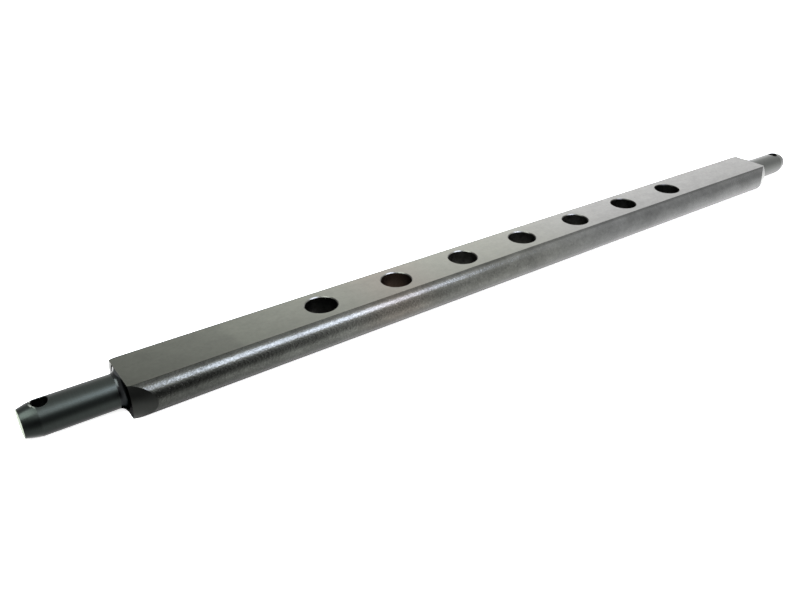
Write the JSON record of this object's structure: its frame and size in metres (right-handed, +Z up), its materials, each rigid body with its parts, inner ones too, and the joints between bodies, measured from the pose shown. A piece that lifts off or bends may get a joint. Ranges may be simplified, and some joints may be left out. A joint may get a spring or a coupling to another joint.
{
  "type": "three-point linkage drawbar",
  "caption": "Flat steel cross drawbar for a tractor's three-point linkage: crowned sides, a row of coupling holes and a hitch pin with a linch pin hole at each end.",
  "frame": {"origin": "centre of the middle coupling hole, halfway through the bar's thickness, on the hitch pins' shared axis", "axes": "+X along the bar towards the right hitch pin, +Y across the bar, +Z up through the coupling holes"},
  "size_m": [0.965, 0.065, 0.03],
  "materials": {
    "bar_steel": "satin",
    "pin_steel": "satin",
    "weld_steel": "satin"
  },
  "bodies": {
    "root": {"crossbar": "bar_steel", "left_hitch_pin": "pin_steel", "right_hitch_pin": "pin_steel", "left_root_weld": "weld_steel", "right_root_weld": "weld_steel"}
  },
  "joints": []
}
